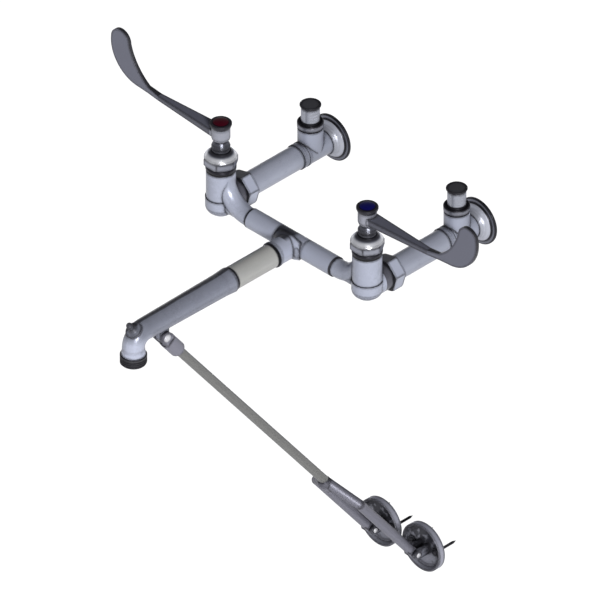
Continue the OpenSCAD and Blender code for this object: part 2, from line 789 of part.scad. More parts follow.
// Quarter-turn plug with a screwdriver slot in the end of its stem
module stop_plug(side) {
    stem_top = stop_stem_top - 2.6;
    color(brass) at_inlet(side) translate([0, -stop_setback, 0]) difference() {
        union() {
            rod_z(plug_r, plug_base_z, plug_top_z);
            rod_z(plug_stem_r, plug_top_z, stem_top);
        }
        rod_y(plug_bore_r, -2 * plug_r, 2 * plug_r);
        translate([-0.7, -plug_stem_r - eps, stem_top - 2.4])
            cube([1.4, 2 * plug_stem_r + 2 * eps, 3]);
    }
}

// Screw cap with a raised rim, over the end of the plug's stem
module stop_cap(side) {
    top = stop_stem_top + stop_cap_h;
    color(cap_grey) at_inlet(side) translate([0, -stop_setback, 0]) {
        rotate_extrude($fn = 96) polygon([[0, stop_stem_top], [stop_stem_r + 0.2, stop_stem_top],
            [stop_cap_r, stop_stem_top + 1.6], [stop_cap_r, top - 0.4], [stop_cap_r - 0.4, top],
            [stop_cap_r - 1.6, top], [stop_cap_r - 2.2, top - 0.7], [0, top - 0.7]]);
        rod_z(plug_stem_r + 2, stop_stem_top - 2, stop_stem_top);
    }
}

// Spun cover plate, hollow behind, that hides the hole in the wall
module escutcheon(side) {
    wall = 1.2;
    rim_r = escutcheon_d / 2;
    hole_r = stop_r + seat;
    h = escutcheon_h;
    color(body_grey) at_inlet(side) rotate([90, 0, 0]) rotate_extrude($fn = 96)
        polygon([[hole_r, h], [hole_r + wall, h], [hole_r + 1.8, h - 3], [hole_r + 3.6, h - 5.2],
                 [rim_r - 6, escutcheon_rim_t + 2.2], [rim_r - 4.4, escutcheon_rim_t + 0.6],
                 [rim_r - 4, escutcheon_rim_t], [rim_r - 0.8, escutcheon_rim_t],
                 [rim_r, escutcheon_rim_t - 0.8], [rim_r, 0], [rim_r - 2, 0],
                 [rim_r - 6.8, escutcheon_rim_t + 0.6], [hole_r + 2.8, h - 6.4], [hole_r, h - 3.2]]);
}

// ---------------------------------------------------------------- brace

// Turned coupling; its end is a fork with two rounded cheeks beside the spout's lug
module brace_coupling() {
    color(brace_grey) along_brace() difference() {
        union() {
            rotate_extrude($fn = 96) polygon([[0, shoulder_z], [coupling_r - 0.6, shoulder_z],
                [coupling_r, shoulder_z + 0.6], [coupling_r, coupling_l - 3],
                [coupling_r - 1.8, coupling_l], [0, coupling_l]]);
            rod_x(cheek_r, -cheek_x, cheek_x);
            translate([-cheek_x, -cheek_r, 0]) cube([2 * cheek_x, 2 * cheek_r, fork_depth]);
        }
        translate([-fork_gap / 2, -coupling_r - eps, -cheek_r - eps])
            cube([fork_gap, 2 * coupling_r + 2 * eps, cheek_r + fork_depth + eps]);
        rod_z(rod_r, rod_start, coupling_l + eps);
        rod_x(brace_pin_r, -coupling_r - eps, coupling_r + eps);
    }
}

// Rivet through both cheeks, with a domed head at each end
module brace_pin() {
    head_h = 1.7;
    color(zinc) along_brace() {
        rod_x(brace_pin_r, -cheek_x, cheek_x);
        for (end = [0, 180])
            rotate([0, 90 + end, 0]) rotate_extrude($fn = 72)
                polygon([[0, cheek_x], [brace_head_r, cheek_x], [brace_head_r, cheek_x + 0.5],
                         [brace_head_r - 0.8, cheek_x + 1.2], [brace_head_r - 2.2, cheek_x + head_h],
                         [0, cheek_x + head_h]]);
    }
}

module brace_rod() {
    color(rod_grey) along_brace() rod_z(rod_r, rod_start, yoke_apex + yoke_socket_l - eps);
}

// One arm of the yoke: out from the apex, then parallel to the rod to its eye
module yoke_arm(side) {
    knee = [side * flange_x, 0, yoke_apex + yoke_spread];
    lean = atan2(flange_x, yoke_spread);
    translate([0, 0, yoke_apex]) rotate([0, side * lean, 0])
        rod_z(yoke_r, 0, norm([flange_x, yoke_spread]));
    translate(knee) sphere(r = yoke_r + 0.12, $fn = 72);
    translate([side * flange_x, 0, 0]) {
        difference() {
            union() {
                rod_z(yoke_r, yoke_apex + yoke_spread, brace_l - ear_r - 3);
                translate([-eye_t / 2, -yoke_r + 0.6, brace_l - ear_r - 6])
                    cube([eye_t, 2 * yoke_r - 1.2, ear_r + 6]);
                translate([0, 0, brace_l]) rod_x(yoke_r - 0.6, -eye_t / 2, eye_t / 2);
            }
            translate([0, 0, brace_l]) rod_x(flange_pin_r + run, -eye_t, eye_t);
        }
    }
}

// Two arms from a boss that hangs a little below the rod it is pinned on
module brace_yoke() {
    color(brace_grey) along_brace() difference() {
        union() {
            for (side = [-1, 1]) yoke_arm(side);
            translate([0, yoke_boss_drop, yoke_apex]) sphere(r = yoke_boss_r, $fn = 72);
            translate([0, yoke_boss_drop, 0])
                rod_z(yoke_boss_r - 0.7, yoke_apex - 2, yoke_apex + yoke_boss_l);
        }
        rod_z(rod_r, yoke_apex - 2 * yoke_boss_r, yoke_apex + yoke_socket_l);
    }
}

// Dished wall flange with two ears for the yoke's eye
module brace_flange(side) {
    dish_floor = 2.6;
    ear_w = 2 * ear_r;
    color(brace_grey) translate([side * flange_x, 0, -brace_drop]) difference() {
        union() {
            rotate([90, 0, 0]) rotate_extrude($fn = 96) polygon([[0, 0], [flange_r, 0],
                [flange_r, flange_t - 0.6], [flange_r - 0.6, flange_t], [flange_r - 2, flange_t],
                [flange_r - 4.4, dish_floor + 1], [flange_r - 6.2, dish_floor], [0, dish_floor]]);
            for (x = [-1, 1])
                translate([x * screw_spacing / 2, 0, 0]) rod_y(screw_seat_r, -screw_seat_t, 0);
            for (x = [-1, 1])
                translate([x * (ear_gap + ear_t) / 2 - ear_t / 2, 0, 0]) {
                    translate([0, wall_pivot_y, -ear_r]) cube([ear_t, -wall_pivot_y - 1, ear_w]);
                    translate([0, wall_pivot_y, 0]) rod_x(ear_r, 0, ear_t);
                }
        }
        translate([0, wall_pivot_y, 0]) rod_x(flange_pin_r, -flange_r, flange_r);
        for (x = [-1, 1])
            translate([x * screw_spacing / 2, 0, 0]) {
                rod_y(screw_r + 0.3, -flange_t - eps, eps);
                rod_y(screw_seat_r, -flange_t - eps, -screw_seat_t);
            }
    }
}

module flange_pin(side) {
    half = ear_gap / 2 + ear_t + 0.8;
    color(zinc) translate([side * flange_x, wall_pivot_y, -brace_drop]) rod_x(flange_pin_r, -half, half);
}

module wall_screws(side) {
    color(zinc) translate([side * flange_x, 0, -brace_drop])
        for (x = [-1, 1])
            translate([x * screw_spacing / 2, 0, 0]) difference() {
                union() {
                    rod_y(screw_r, 0, screw_depth);
                    rod_y(screw_neck_r, -screw_seat_t, eps);
                    rod_y(screw_head_r, -screw_seat_t - screw_head_h, -screw_seat_t);
                }
                translate([-screw_head_r, -screw_seat_t - screw_head_h - eps, -slot_w / 2])
                    cube([2 * screw_head_r, eps + 1, slot_w]);
            }
}

valve_body(-1);  // valve_body_hot
valve_body(1);  // valve_body_cold
crossbar(-1);  // crossbar_hot
crossbar(1);  // crossbar_cold
outlet_tee();
spout_sleeve();
spout();
hose_nozzle();
bonnet(-1);  // bonnet_hot
bonnet(1);  // bonnet_cold
bonnet_washer(-1);  // bonnet_washer_hot
bonnet_washer(1);  // bonnet_washer_cold
cartridge(-1);  // cartridge_hot
cartridge(1);  // cartridge_cold
fixed_disc(-1);  // fixed_disc_hot
fixed_disc(1);  // fixed_disc_cold
seat_seal(-1);  // seat_seal_hot
seat_seal(1);  // seat_seal_cold
stem_packing(-1);  // stem_packing_hot
stem_packing(1);  // stem_packing_cold
packing_nut(-1);  // packing_nut_hot
packing_nut(1);  // packing_nut_cold
spindle(-1);  // spindle_hot
spindle(1);  // spindle_cold
turning_disc(-1);  // turning_disc_hot
turning_disc(1);  // turning_disc_cold
handle(-1);  // handle_hot
handle(1);  // handle_cold
handle_screw(-1);  // handle_screw_hot
handle_screw(1);  // handle_screw_cold
index_button(-1);  // index_button_hot
index_button(1);  // index_button_cold
supply_arm(-1);  // supply_arm_hot
supply_arm(1);  // supply_arm_cold
union_nut(-1);  // union_nut_hot
union_nut(1);  // union_nut_cold
union_washer(-1);  // union_washer_hot
union_washer(1);  // union_washer_cold
stop_body(-1);  // stop_body_hot
stop_body(1);  // stop_body_cold
stop_bonnet(-1);  // stop_bonnet_hot
stop_bonnet(1);  // stop_bonnet_cold
stop_plug(-1);  // stop_plug_hot
stop_plug(1);  // stop_plug_cold
stop_cap(-1);  // stop_cap_hot
stop_cap(1);  // stop_cap_cold
escutcheon(-1);  // escutcheon_hot
escutcheon(1);  // escutcheon_cold
brace_coupling();
brace_pin();
brace_rod();
brace_yoke();
brace_flange(-1);  // flange_hot_side
brace_flange(1);  // flange_cold_side
flange_pin(-1);  // flange_pin_hot_side
flange_pin(1);  // flange_pin_cold_side
wall_screws(-1);  // wall_screws_hot_side
wall_screws(1);  // wall_screws_cold_side
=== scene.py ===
# Wall-mounted service faucet: plated brass castings on a crossbar, wrist-blade
# handles, screwdriver stops, a hose-end spout and its wall brace.
# Metres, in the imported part's own frame: the wall is Y = 0 and the room lies at -Y.
import math

import bmesh
import bpy
from mathutils import Matrix, Vector


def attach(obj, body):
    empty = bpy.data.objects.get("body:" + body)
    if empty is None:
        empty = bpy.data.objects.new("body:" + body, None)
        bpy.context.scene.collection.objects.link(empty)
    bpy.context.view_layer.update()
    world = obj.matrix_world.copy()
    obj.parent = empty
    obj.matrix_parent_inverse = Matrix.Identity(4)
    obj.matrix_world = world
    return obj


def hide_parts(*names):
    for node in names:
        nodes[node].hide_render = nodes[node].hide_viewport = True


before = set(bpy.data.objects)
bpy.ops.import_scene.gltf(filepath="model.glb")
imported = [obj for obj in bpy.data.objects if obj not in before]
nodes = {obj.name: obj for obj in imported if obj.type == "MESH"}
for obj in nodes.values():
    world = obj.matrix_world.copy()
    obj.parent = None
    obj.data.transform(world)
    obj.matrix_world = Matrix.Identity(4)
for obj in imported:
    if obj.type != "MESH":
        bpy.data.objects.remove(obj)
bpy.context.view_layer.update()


# ---- Camera
# A long lens far off, so that parallel pipes stay parallel. It looks down over the
# cold side's front corner, at the same angle to all three axes.
LENS = 1600
SENSOR = 36
VIEW_WIDTH = 0.5906
NEAR, FAR = 1, 80
LOOK_AT = Vector((0.0, -0.14713, -0.0734))
LOOK_BACK = Vector((1, -1, 1)).normalized()

camera = bpy.data.objects.new("camera", bpy.data.cameras.new("camera"))
camera.data.lens = LENS
camera.data.sensor_width = SENSOR
camera.data.clip_start = NEAR
camera.data.clip_end = FAR
camera.location = LOOK_AT + LOOK_BACK * VIEW_WIDTH * LENS / SENSOR
camera.rotation_mode = "QUATERNION"
camera.rotation_quaternion = (-LOOK_BACK).to_track_quat("-Z", "Y")
bpy.context.scene.collection.objects.link(camera)
bpy.context.scene.camera = camera
bpy.context.scene.view_settings.view_transform = "Standard"


# ---- Studio
# A pale floor and a surround that is white at the horizon and dark overhead. The key
# lamp shines from above the cold side's front corner. The back lamp shines from behind
# the wall and below the floor, which casts no shadow so that its light comes through.
class Wire:
    """One output of a node. A sum on it adds the Math node that works it out."""

    def __init__(self, finish, socket):
        self.finish, self.socket = finish, socket

    def _maths(self, operation, first, second):
        return self.finish.node("ShaderNodeMath", {"operation": operation}, {0: first, 1: second})

    def __add__(self, other):
        return self._maths("ADD", self, other)

    def __sub__(self, other):
        return self._maths("SUBTRACT", self, other)

    def __rsub__(self, other):
        return self._maths("SUBTRACT", other, self)

    def __mul__(self, other):
        return self._maths("MULTIPLY", self, other)

    def __pow__(self, other):
        return self._maths("POWER", self, other)

    def __rpow__(self, other):
        return self._maths("POWER", other, self)

    def largest(self, other):
        return self._maths("MAXIMUM", self, other)

    def smallest(self, other):
        return self._maths("MINIMUM", self, other)

    def below(self, other):
        return self._maths("LESS_THAN", self, other)

    def size(self):
        return self._maths("ABSOLUTE", self, 0)

    def held(self, top=1):
        """Held between 0 and a top value."""
        return self.largest(0).smallest(top)

    def band(self, middle, half, firm=3):
        """1 near a middle value, falling to 0 at half the band's width from it."""
        return ((1 - (self - middle).size() * (1 / half)) * firm).held()

    __radd__, __rmul__ = __add__, __mul__


class Finish:
    """A node tree in the making. node() adds a node: its settings first, then its sockets."""

    def __init__(self, owner):
        owner.use_nodes = True
        self.owner, self.tree = owner, owner.node_tree
        self.tree.nodes.clear()

    def node(self, kind, settings=None, sockets=None, output=0):
        made = self.tree.nodes.new(kind)
        for name, value in (settings or {}).items():
            if name == "stops":
                ramp = made.color_ramp.elements
                while len(ramp) < len(value):
                    ramp.new(0.5)
                for stop, (place, colour) in zip(ramp, value):
                    stop.position, stop.color = place, (*colour, 1)
            else:
                setattr(made, name, value)
        for name, value in (sockets or {}).items():
            if isinstance(value, Wire):
                self.tree.links.new(value.socket, made.inputs[name])
            else:
                made.inputs[name].default_value = value
        return Wire(self, made.outputs[output]) if len(made.outputs) else None

    def lane(self, place, axis):
        """One coordinate of a place."""
        return self.node("ShaderNodeSeparateXYZ", None, {0: place}, axis)

    def blend(self, share, under, over):
        """Two colours mixed, each a wire or three numbers."""
        sides = [c if isinstance(c, Wire) else (*c, 1) for c in (under, over)]
        return self.node("ShaderNodeMix", {"data_type": "RGBA"}, {0: share, 6: sides[0], 7: sides[1]}, 2)


def seen_rays(finish):
    """1 on the rays that look at the backdrop itself or see it in a shiny surface."""
    rays = [finish.node("ShaderNodeLightPath", output=name)
            for name in ("Is Camera Ray", "Is Glossy Ray", "Is Transmission Ray")]
    return rays[0].largest(rays[1]).largest(rays[2])


FLOOR_DROP = 0.95
FLOOR_R = 45
FLOOR_SIDES = 96
FLOOR_PAINT = (0.36, 0.36, 0.37, 1)
FLOOR_GLOW = 0.9
WHITE = (1, 1, 1)
floor_mesh = bpy.data.meshes.new("floor")
shape = bmesh.new()
bmesh.ops.create_circle(shape, cap_ends=True, segments=FLOOR_SIDES, radius=FLOOR_R)
shape.to_mesh(floor_mesh)
shape.free()
floor = bpy.data.objects.new("floor", floor_mesh)
floor.location.z = -FLOOR_DROP
floor.visible_shadow = False
bpy.context.scene.collection.objects.link(floor)
paint = Finish(bpy.data.materials.new("floor paint"))
matt = paint.node("ShaderNodeBsdfDiffuse", None, {"Color": FLOOR_PAINT})
glow = paint.node("ShaderNodeEmission", None,
                  {"Color": (*WHITE, 1), "Strength": seen_rays(paint) * FLOOR_GLOW})
both = paint.node("ShaderNodeAddShader", None, {0: matt, 1: glow})
paint.node("ShaderNodeOutputMaterial", None, {"Surface": both})
floor_mesh.materials.append(paint.owner)

# The surround from the horizon (0) to overhead (1): as it is seen, and as it lights.
SEEN_SKY = ((0.03, WHITE), (0.16, (0.3, 0.31, 0.33)), (0.5, (0.1, 0.1, 0.12)),
            (1.0, (0.06, 0.06, 0.07)))
LIT_SKY = ((0.5, (0.055, 0.055, 0.058)), (1.0, (0.045, 0.045, 0.048)))
surround = Finish(bpy.data.worlds.new("surround"))
bpy.context.scene.world = surround.owner
height = surround.lane(surround.node("ShaderNodeTexCoord", output="Generated"), "Z")
shown = surround.node("ShaderNodeValToRGB", {"stops": SEEN_SKY}, {0: height})
lit = surround.node("ShaderNodeValToRGB", {"stops": LIT_SKY}, {0: height})
sky = surround.node("ShaderNodeBackground", None,
                    {"Color": surround.blend(seen_rays(surround), lit, shown)})
surround.node("ShaderNodeOutputWorld", None, {"Surface": sky})

# Each sun lamp's name, the way it shines, its strength and its spread in degrees.
LAMPS = (("key", (-0.78, 0.51, -0.37), 3.3, 14),
         ("fill", (0.2, 0.95, -0.1), 0.14, 60),
         ("back", (0.62, -0.62, 0.48), 2.2, 20),
         ("glint", (-0.62, 0.5, -0.6), 0.3, 10))
for name, towards, strength, spread in LAMPS:
    lamp = bpy.data.objects.new(name, bpy.data.lights.new(name, "SUN"))
    lamp.data.energy = strength
    lamp.data.angle = math.radians(spread)
    lamp.rotation_mode = "QUATERNION"
    lamp.rotation_quaternion = Vector(towards).to_track_quat("-Z", "Y")
    bpy.context.scene.collection.objects.link(lamp)


# ---- Valve bodies
# Sand-cast brass, plated, with a swept arm to the crossbar and a threaded tail
# towards the wall. The mould's seam shows and edges are worn dark; the crevices
# are darkened with painted shade.
def dress(material, *names):
    """Puts a finish on the frame's own nodes."""
    for name in names:
        nodes[name].data.materials.clear()
        nodes[name].data.materials.append(material)


def pair(*names):
    return [name + side for name in names for side in ("_hot", "_cold")]


def shade(colour, by):
    return tuple(min(1, part * by) for part in colour)


def noise(finish, place, scale, detail):
    return finish.node("ShaderNodeTexNoise", None, {"Vector": place, "Scale": scale, "Detail": detail})


def open_share(finish, reach):
    """1 in the open and less in a crevice whose walls are within reach."""
    return finish.node("ShaderNodeAmbientOcclusion", {"samples": 6}, {"Distance": reach}, "AO")


CLOUD_SCALE = 55
CLOUD_TINT = 0.06
CREVICE_LEAST, CREVICE_CLOUD = 0.8, 0.4
CLOUD_ROUGH, GRAIN_ROUGH = 0.12, 0.08
WORN_ROUGH, GRIME_ROUGH = 0.1, 0.3
EDGE_R = 0.0036
WEAR_GAIN, WEAR_START = 150, 0.4
WORN = (0.03, 0.029, 0.034)
# Painted shade in crevices: how fast it sets in from the occlusion, and its colour.
CREVICE_GAIN, CREVICE_START = 3.4, 0.5
CREVICE_SHADE = (0.008, 0.008, 0.011)
SEAM_HALF, SEAM_H = 0.0006, 5
RIM_TINT = (0.7, 0.7, 0.76, 1)
RIM_GLOSS = 0.4


def metal(name, colour, roughness, metallic, grain, grain_h, soil=0.85, rub=0.9, reach=0.005,
          stretch=(1, 1, 1), seam=None, areas=None):
    """Plated or bare metal. Grain is the size of its texture, grain_h its height and stretch
    the way it was drawn or turned. Rub wears the edges; crevices whose walls are within reach
    get painted shade and a rougher skin, by the crevice weight. Seam is the axis and place of
    the mould's join. areas() gives a share and a colour for each part of the surface that differs."""
    finish = Finish(bpy.data.materials.new(name))
    place = finish.node("ShaderNodeTexCoord", output="Object")
    along = finish.node("ShaderNodeMapping", None, {"Vector": place, "Scale": stretch})
    cloud = noise(finish, place, CLOUD_SCALE, 3)
    fine = noise(finish, along, 1 / grain, 3)
    round_normal = finish.node("ShaderNodeBevel", {"samples": 4}, {"Radius": EDGE_R})
    flat_normal = finish.node("ShaderNodeNewGeometry", output="Normal")
    agree = finish.node("ShaderNodeVectorMath", {"operation": "DOT_PRODUCT"},
                        {0: round_normal, 1: flat_normal}, "Value")
    worn = ((1 - agree) * WEAR_GAIN - WEAR_START).held() * rub
    # Painted shade: ambient occlusion darkens crevices and gaps, and the same mask roughens them.
    closed = ((1 - open_share(finish, reach)) * CREVICE_GAIN - CREVICE_START).held()
    shade_and_grime = closed * soil * (cloud * CREVICE_CLOUD + CREVICE_LEAST)
    tone = finish.blend(cloud, shade(colour, 1 - CLOUD_TINT), shade(colour, 1 + CLOUD_TINT))
    for share, over in areas(finish, place) if areas else ():
        tone = finish.blend(share, tone, over)
    tone = finish.blend(worn, tone, WORN)
    tone = finish.blend(shade_and_grime.smallest(1), tone, CREVICE_SHADE)
    rough = cloud * CLOUD_ROUGH + fine * GRAIN_ROUGH + (roughness - (CLOUD_ROUGH + GRAIN_ROUGH) / 2)
    rough = rough + worn * WORN_ROUGH + shade_and_grime * GRIME_ROUGH
    height = fine
    if seam:
        axis, at = seam
        height = height + finish.lane(place, axis).band(at, SEAM_HALF, 1) * SEAM_H
    bump = finish.node("ShaderNodeBump", None, {"Strength": 1, "Distance": grain_h,
                                                "Height": height, "Normal": round_normal})
    skin = finish.node("ShaderNodeBsdfPrincipled", None, {
        "Base Color": tone, "Roughness": rough, "Metallic": metallic, "Normal": bump,
        "Specular Tint": RIM_TINT, "Specular IOR Level": RIM_GLOSS})
    finish.node("ShaderNodeOutputMaterial", None, {"Surface": skin})
    return finish.owner


def cast(name, colour, roughness=0.31, metallic=0.12, **more):
    """A plated sand casting, which keeps the grain of the sand."""
    return metal(name, colour, roughness, metallic, grain=0.0006, grain_h=0.00004, **more)


PLATE_GREY = (0.415, 0.44, 0.54)
CROSSBAR_Y = -0.1556
TAIL_Y = -0.1425
TAIL_GREY = (0.1, 0.1, 0.122)


def tail_area(finish, place):
    """Darkens the threaded tail, with the last of the valve's barrel on the wall side."""
    yield 1 - finish.lane(place, "Y").below(TAIL_Y), TAIL_GREY


dress(cast("plated valve casting", PLATE_GREY, 0.27, 0.16, reach=0.012, soil=1.25,
           seam=("Y", CROSSBAR_Y), areas=tail_area), *pair("valve_body"))


# ---- Crossbar and tee
# Two plated brass tubes run from the valves to a cast tee and are brazed at both
# ends. Each tube has a dark ring at its valve, and the tee's hot-side shoulder is
# darkened in patches with painted shade.
# Black for dark joints, and also used for painted shade.
JOINT_AND_SHADE_BLACK = (0.02, 0.02, 0.026)
BAR_END = 0.0585
RING_HALF = 0.0014
TEE_FRONT_Y = -0.1715
PATCH_END_X = 0.006
PATCH_Z = 0.003
PATCH_COVER = 0.93
PATCH_FIRM, SIDE_FIRM = 400, 200


def mottle(finish, place, scale, detail, swing):
    """Noise that swings by half of swing to either side of 0."""
    return (noise(finish, place, scale, detail) - 0.5) * swing


def bar_area(finish, place):
    """Darkens a ring where the crossbar enters the valve's arm."""
    yield finish.lane(place, "X").size().band(BAR_END, RING_HALF), JOINT_AND_SHADE_BLACK


def tee_area(finish, place):
    """Paints shade in patches over the tee's shoulder, on the hot side only."""
    body = 1 - finish.lane(place, "Y").below(TEE_FRONT_Y)
    side = ((PATCH_END_X - finish.lane(place, "X")) * SIDE_FIRM).held()
    above = (finish.lane(place, "Z") - PATCH_Z) * PATCH_FIRM
    patches = (above + mottle(finish, place, scale=300, detail=3, swing=2)).held(PATCH_COVER)
    yield patches * side * body, JOINT_AND_SHADE_BLACK


dress(cast("plated crossbar", PLATE_GREY, areas=bar_area), *pair("crossbar"))
dress(cast("plated tee", PLATE_GREY, reach=0.01, soil=1.2, areas=tee_area), "outlet_tee")


# ---- Bonnets and packing nuts
# Turned from brass bar and plated; the tool leaves fine rings round each one. The
# bonnet's dome carries a painted highlight band between its dark collar and a painted
# shade on its top.
BONNET_GREY = (0.29, 0.3, 0.35)
HEXAGON_Z = 0.045
DOME_Z, DOME_HALF = 0.056, 0.003
# Painted highlight round the dome.
DOME_HIGHLIGHT = (0.93, 0.94, 0.98)
DOME_TOP = 0.0585
DOME_COVER = 0.85
DOME_FIRM = 700
# Painted shade, on the dome's top and on the spout's shoulder.
PAINTED_SHADE_BLACK = (0.03, 0.03, 0.038)
PACKING_GREY = (0.12, 0.125, 0.15)


def turned(name, colour, roughness, **more):
    return metal(name, colour, roughness, 0.6, grain=0.0004, grain_h=0.00002,
                 stretch=(0.03, 0.03, 1), **more)


def bonnet_areas(finish, place):
    """Paints a highlight band round the dome and shade on its top; darkens the plain collar."""
    height = finish.lane(place, "Z")
    yield height.band(DOME_Z, DOME_HALF, 2), DOME_HIGHLIGHT
    yield height.below(HEXAGON_Z), JOINT_AND_SHADE_BLACK
    yield ((height - DOME_TOP) * DOME_FIRM).held(DOME_COVER), PAINTED_SHADE_BLACK


dress(turned("turned bonnet", BONNET_GREY, 0.22, areas=bonnet_areas), *pair("bonnet"))
dress(turned("dark turned nut", PACKING_GREY, 0.28), *pair("packing_nut"))


# ---- Handles
# Wrist blades forged in brass, with a dark satin finish. A screw under the index
# button holds each one down on its spindle; the hub is bright and its top is black.
# The blade's narrow sides and the arm's front and back faces carry painted shade.
HALF_CENTRES = 0.1016
HUB_R = 0.0112
CAP_Z = 0.0892
NECK_OUT = 0.085
SIDE_TILT = 0.6
ARM_SHARE = 0.5
FORGED_GREY = (0.155, 0.16, 0.205)
# Painted shade on the blade's narrow sides; the same black is the stop cap's own colour.
BLADE_SHADE_AND_CAP_BLACK = (0.03, 0.03, 0.036)
# Painted shade on the arm's front and back faces.
ARM_SHADE = (0.05, 0.05, 0.06)
HUB_BRIGHT = (0.36, 0.37, 0.43)
CAP_BLACK = (0.02, 0.02, 0.027)


def facing(finish, axis):
    """How far the surface faces along one axis of the piece's own frame."""
    return finish.lane(finish.node("ShaderNodeTexCoord", output="Normal"), axis)


def radius(finish, place, off_centre, axis, at):
    """Distance from a line that lies off_centre to either side, square to X and to the axis."""
    out = finish.lane(place, "X").size() - off_centre
    across = finish.lane(place, axis) - at
    return (out * out + across * across) ** 0.5


def handle_areas(finish, place):
    """Paints shade on what doesn't face along Y on the blade and, by a share, on what does on
    the arm. Brightens the hub and blackens its top."""
    arm = (finish.lane(place, "X").size() - HALF_CENTRES).below(NECK_OUT)
    upright = facing(finish, "Y").size().below(SIDE_TILT)
    hub = radius(finish, place, HALF_CENTRES, "Y", CROSSBAR_Y).below(HUB_R)
    yield (1 - arm) * upright, BLADE_SHADE_AND_CAP_BLACK
    yield arm * (1 - upright) * ARM_SHARE, ARM_SHADE
    yield hub, HUB_BRIGHT
    yield hub * (1 - finish.lane(place, "Z").below(CAP_Z)), CAP_BLACK


dress(metal("forged handle", FORGED_GREY, 0.36, 0.25, grain=0.0005, grain_h=0.00003, rub=0.8,
            areas=handle_areas), *pair("handle"))


# ---- Index buttons
# Domed plastic buttons pressed into the tops of the handles: red for hot and blue
# for cold. The rim of each one is black.
INDEX_R = 0.0072
INDEX_COVER = 0.9
INDEX_FIRM = 1200
INDEX_RED = (0.06, 0.001, 0.008)
INDEX_BLUE = (0.004, 0.004, 0.1)
INDEX_RIM = (0.006, 0.004, 0.008)
SPECK = 0.0004
SPECK_H = 0.00002
SPECK_ROUGH = 0.1
SHADE_SCALE, SHADE_LEAST = 90, 0.85
# Painted shade in corners within reach: how much of it, how far it reaches, and its colour.
CORNER_COVER = 0.7
CORNER_REACH = 0.003
CORNER_SHADE = (0.01, 0.01, 0.012)


def moulded(name, colour, roughness, areas=None):
    """Moulded plastic or rubber with a fine matt skin."""
    finish = Finish(bpy.data.materials.new(name))
    place = finish.node("ShaderNodeTexCoord", output="Object")
    fine = noise(finish, place, 1 / SPECK, 2)
    tone = finish.blend(noise(finish, place, SHADE_SCALE, 2), shade(colour, SHADE_LEAST), colour)
    for share, over in areas(finish, place) if areas else ():
        tone = finish.blend(share, tone, over)
    # Painted shade: ambient occlusion darkens corners and gaps.
    tone = finish.blend((1 - open_share(finish, CORNER_REACH)) * CORNER_COVER, tone, CORNER_SHADE)
    bump = finish.node("ShaderNodeBump", None, {"Strength": 0.6, "Distance": SPECK_H, "Height": fine})
    skin = finish.node("ShaderNodeBsdfPrincipled", None, {
        "Base Color": tone, "Roughness": fine * SPECK_ROUGH + (roughness - SPECK_ROUGH / 2),
        "Normal": bump, "Specular IOR Level": 0.2})
    finish.node("ShaderNodeOutputMaterial", None, {"Surface": skin})
    return finish.owner


def index_area(finish, place):
    """Blackens the button's rim."""
    past_rim = radius(finish, place, HALF_CENTRES, "Y", CROSSBAR_Y) - INDEX_R
    yield (past_rim * INDEX_FIRM).held(INDEX_COVER), INDEX_RIM


dress(moulded("hot index", INDEX_RED, 0.3, index_area), "index_button_hot")
dress(moulded("cold index", INDEX_BLUE, 0.3, index_area), "index_button_cold")


# ---- Supply arms and unions
# Drawn and plated brass tubes lead back to the stops. A hexagon nut draws each one
# up to the valve's tail; painted shade darkens the nut's front end and its upper flats.
TUBE_GREY = (0.355, 0.375, 0.455)
NUT_FRONT = -0.8
NUT_TOP = 0.75
# Painted shade on the nut's upper flats.
NUT_TOP_SHADE = (0.05, 0.05, 0.06)


def nut_areas(finish, place):
    """Paints shade on the union nut's front end and on what faces up on it."""
    yield facing(finish, "Y").below(NUT_FRONT), JOINT_AND_SHADE_BLACK
    yield 1 - facing(finish, "Z").below(NUT_TOP), NUT_TOP_SHADE


dress(metal("drawn supply tube", TUBE_GREY, 0.3, 0.12, grain=0.0005, grain_h=0.00002,
            stretch=(1, 0.05, 1)),
      *pair("supply_arm"))
dress(cast("plated union nut", PLATE_GREY, reach=0.01, soil=1.2, areas=nut_areas),
      *pair("union_nut"))


# ---- Stops
# Straight cast stops at the wall. A turned bonnet screws into each one over its
# plug, and a blackened cap covers the plug's screwdriver slot.
STOP_GREY = shade(PLATE_GREY, 0.82)
STEM_GREY = (0.36, 0.375, 0.43)
STOP_NUT_GREY = (0.2, 0.205, 0.24)
STOP_NUT_Z = (0.0275, 0.0354)
STOP_NUT_HALF = 0.0017
RING_BLACK = (0.012, 0.012, 0.016)
CAP_AXIS_Y = -0.031
CAP_FLOOR_R = 0.0084
CAP_GREY = (0.07, 0.07, 0.078)


def stop_nut_areas(finish, place):
    """Darkens the stop bonnet's nut and blackens both its ends; the stem above stays bright."""
    height = finish.lane(place, "Z")
    yield height.below(STOP_NUT_Z[1]), STOP_NUT_GREY
    for end in STOP_NUT_Z:
        yield height.band(end, STOP_NUT_HALF), RING_BLACK


def cap_area(finish, place):
    """Lightens the sunk middle of the cap inside its black rim."""
    yield radius(finish, place, HALF_CENTRES, "Y", CAP_AXIS_Y).below(CAP_FLOOR_R), CAP_GREY


dress(cast("plated stop casting", STOP_GREY, reach=0.01, soil=1.3), *pair("stop_body"))
dress(turned("turned stop bonnet", STEM_GREY, 0.26, areas=stop_nut_areas), *pair("stop_bonnet"))
dress(metal("worn dark cap", BLADE_SHADE_AND_CAP_BLACK, 0.4, 0.3, grain=0.0005, grain_h=0.00003, areas=cap_area),
      *pair("stop_cap"))


# ---- Cover plates
# Escutcheons spun from thin brass and plated, slipped over the stops against the
# wall. The rim is dark, with a black ring along either edge.
SPUN_GREY = (0.46, 0.475, 0.54)
RIM_GREY = (0.16, 0.165, 0.2)
COVER_RINGS = ((0.0209, 0.001), (0.0250, 0.0011))


